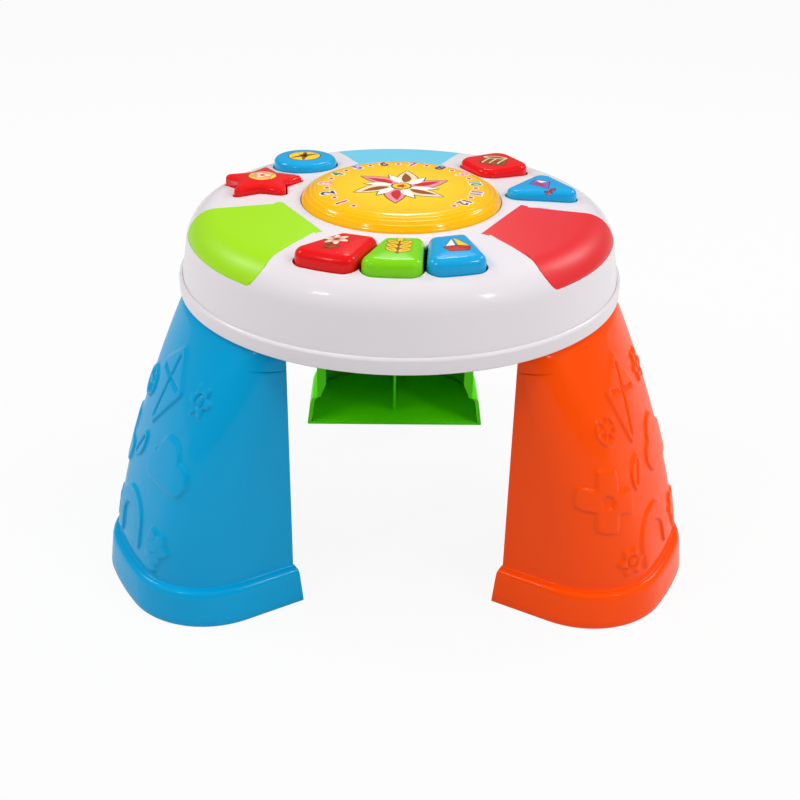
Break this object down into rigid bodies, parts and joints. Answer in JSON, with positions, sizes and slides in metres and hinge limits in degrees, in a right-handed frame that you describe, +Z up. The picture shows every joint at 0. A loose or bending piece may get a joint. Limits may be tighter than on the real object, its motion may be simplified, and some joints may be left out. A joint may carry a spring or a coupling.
{
  "type": "activity table",
  "caption": "Round musical activity table for toddlers: a domed white play top with colour panels, piano keys, press buttons and a light-up dome, on hollow snap-in legs.",
  "frame": {"origin": "on the floor, at the middle of the whole table's footprint; the play top's own axis stands behind it by half the difference between the rear and front reach", "axes": "+Z up, +X to the right as seen from the front, +Y to the rear leg; the keys face -Y"},
  "size_m": [0.4872, 0.4428, 0.3009],
  "materials": {
    "shell_white": "smooth moulded white with a soft gloss",
    "inner_white": "plain moulded",
    "panel_lime": "smooth moulded lime",
    "panel_red": "smooth moulded red",
    "panel_sky": "smooth moulded sky blue",
    "sun_amber": "clear amber over a printed disc",
    "sun_print": "printed card",
    "key_red": "glossy red",
    "key_green": "glossy green",
    "key_blue": "glossy blue",
    "leg_blue": "glossy blue with low relief",
    "leg_orange": "glossy orange with low relief",
    "leg_green": "glossy green with low relief",
    "contact_rubber": "plain silicone",
    "board_green": "solder-masked board",
    "led_red": "clear tinted",
    "chip_black": "plain",
    "knob_black": "ribbed",
    "speaker_grey": "pressed steel, painted",
    "cone_black": "paper cone",
    "magnet_grey": "ferrite",
    "spring_steel": "plain wire",
    "screw_steel": "zinc plated",
    "cell_black": "plain sleeve, no print",
    "lead_red": "insulated wire"
  },
  "bodies": {
    "table": {"top_shell": "shell_white", "base_pan": "shell_white", "left_panel": "panel_lime", "right_panel": "panel_red", "rear_panel": "panel_sky", "sun_cage": "inner_white", "sun_springs": "spring_steel", "light_board": "board_green", "light_leds": "led_red", "key_pins": "spring_steel", "red_key_contact": "contact_rubber", "green_key_contact": "contact_rubber", "blue_key_contact": "contact_rubber", "oval_contact": "contact_rubber", "star_contact": "contact_rubber", "square_contact": "contact_rubber", "fan_contact": "contact_rubber", "key_board": "board_green", "left_board": "board_green", "right_board": "board_green", "board_screws": "screw_steel", "sound_chip": "chip_black", "wire_leads": "lead_red", "speaker_basket": "speaker_grey", "speaker_cone": "cone_black", "speaker_magnet": "magnet_grey", "speaker_clamp": "screw_steel", "battery_cells": "cell_black", "battery_contacts": "spring_steel", "power_switch": "chip_black", "left_leg": "leg_blue", "right_leg": "leg_orange", "rear_leg": "leg_green", "housing_screws": "screw_steel"},
    "sun": {"sun_dome": "sun_amber", "sun_disc": "sun_print"},
    "red_key": {"red_key": "key_red"},
    "green_key": {"green_key": "key_green"},
    "blue_key": {"blue_key": "key_blue"},
    "oval_button": {"oval_button": "key_blue"},
    "star_button": {"star_button": "key_red"},
    "square_button": {"square_button": "key_red"},
    "fan_button": {"fan_button": "key_blue"},
    "battery_door": {"battery_door": "shell_white", "door_screw": "screw_steel"},
    "switch_knob": {"switch_knob": "knob_black"}
  },
  "joints": [
    {"name": "sun_press", "type": "slide", "parent": "table", "child": "sun", "axis": [0, 0, -1], "range_m": [0, 0.0025], "stiffness_N_per_m": 600, "springref_m": -0.003, "deforming": ["sun_springs"]},
    {"name": "red_key_tip", "type": "hinge", "parent": "table", "child": "red_key", "pos_m": [-0.03593, -0.1259, 0.28041], "axis": [0.9232, -0.3843, 0], "range_deg": [0, 3.5], "stiffness_Nm_per_rad": 1, "springref_deg": -2.86, "deforming": ["red_key_contact"]},
    {"name": "green_key_tip", "type": "hinge", "parent": "table", "child": "green_key", "pos_m": [-0.00587, -0.1329, 0.28041], "axis": [0.998, -0.0628, 0], "range_deg": [0, 3.5], "stiffness_Nm_per_rad": 1, "springref_deg": -2.86, "deforming": ["green_key_contact"]},
    {"name": "blue_key_tip", "type": "hinge", "parent": "table", "child": "blue_key", "pos_m": [0.02483, -0.12973, 0.28041], "axis": [0.9641, 0.2656, 0], "range_deg": [0, 3.5], "stiffness_Nm_per_rad": 1, "springref_deg": -2.86, "deforming": ["blue_key_contact"]},
    {"name": "oval_press", "type": "slide", "parent": "table", "child": "oval_button", "axis": [0, 0, -1], "range_m": [0, 0.003], "stiffness_N_per_m": 500, "springref_m": -0.002, "deforming": ["oval_contact"]},
    {"name": "star_press", "type": "slide", "parent": "table", "child": "star_button", "axis": [0, 0, -1], "range_m": [0, 0.003], "stiffness_N_per_m": 500, "springref_m": -0.002, "deforming": ["star_contact"]},
    {"name": "square_press", "type": "slide", "parent": "table", "child": "square_button", "axis": [0, 0, -1], "range_m": [0, 0.003], "stiffness_N_per_m": 500, "springref_m": -0.002, "deforming": ["square_contact"]},
    {"name": "fan_press", "type": "slide", "parent": "table", "child": "fan_button", "axis": [0, 0, -1], "range_m": [0, 0.003], "stiffness_N_per_m": 500, "springref_m": -0.002, "deforming": ["fan_contact"]},
    {"name": "door_swing", "type": "hinge", "parent": "table", "child": "battery_door", "pos_m": [0, -0.02864, 0.2241], "axis": [-1, 0, 0], "range_deg": [0, 75]},
    {"name": "switch_slide", "type": "slide", "parent": "table", "child": "switch_knob", "axis": [1, 0, 0], "range_m": [0, 0.008]}
  ]
}
